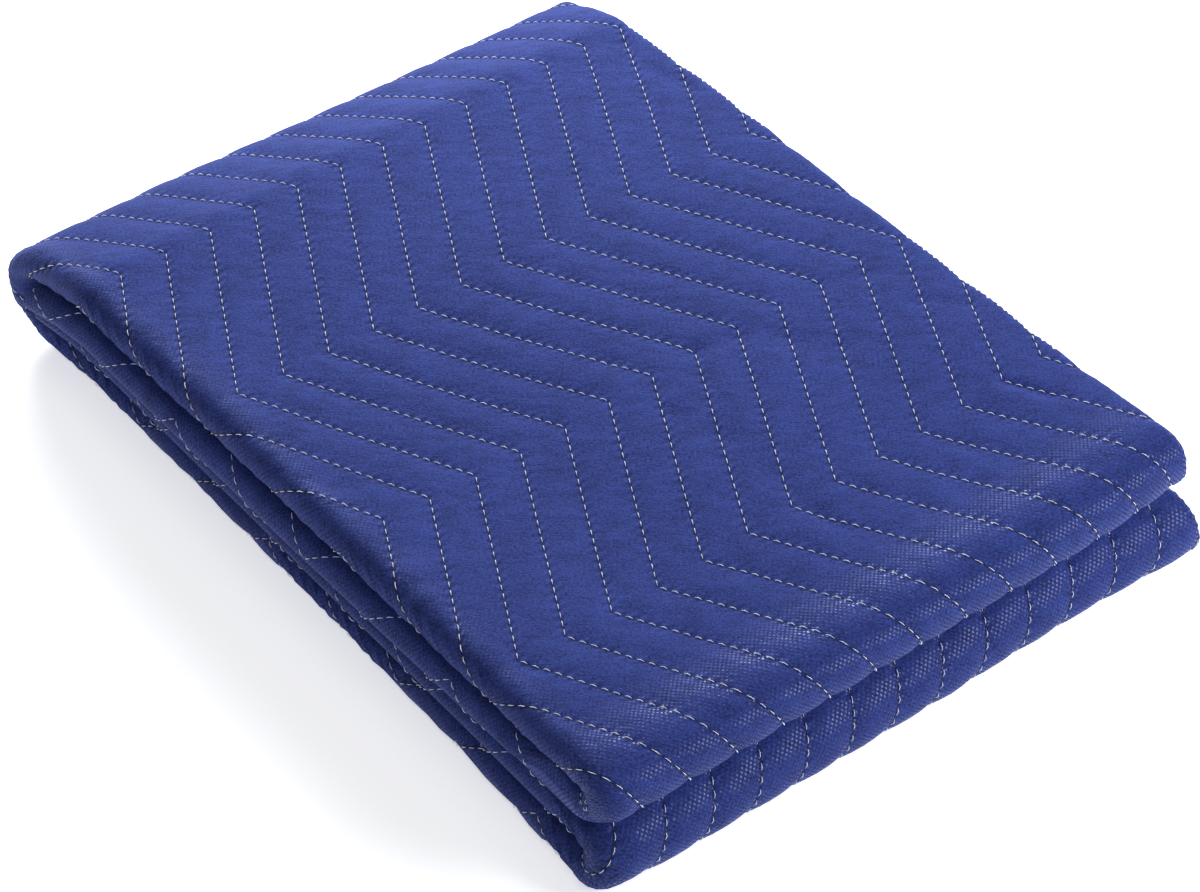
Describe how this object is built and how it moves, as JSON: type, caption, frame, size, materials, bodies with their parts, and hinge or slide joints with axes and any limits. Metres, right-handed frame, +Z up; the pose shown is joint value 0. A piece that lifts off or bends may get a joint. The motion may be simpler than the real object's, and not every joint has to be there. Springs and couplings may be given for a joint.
{
  "type": "moving blanket",
  "caption": "Quilted padded cloth blanket folded into a flat rectangular pack, with stitched zigzag quilting lines.",
  "frame": {"origin": "centre of the pack's plan at the flat underside it rests on", "axes": "+X along the long sides towards the two stacked folds, +Y towards the back side fold, +Z up"},
  "size_m": [0.48, 0.3452, 0.0788],
  "materials": {
    "blue_cloth": "matt"
  },
  "bodies": {
    "root": {"quilted_cloth": "blue_cloth"}
  },
  "joints": []
}
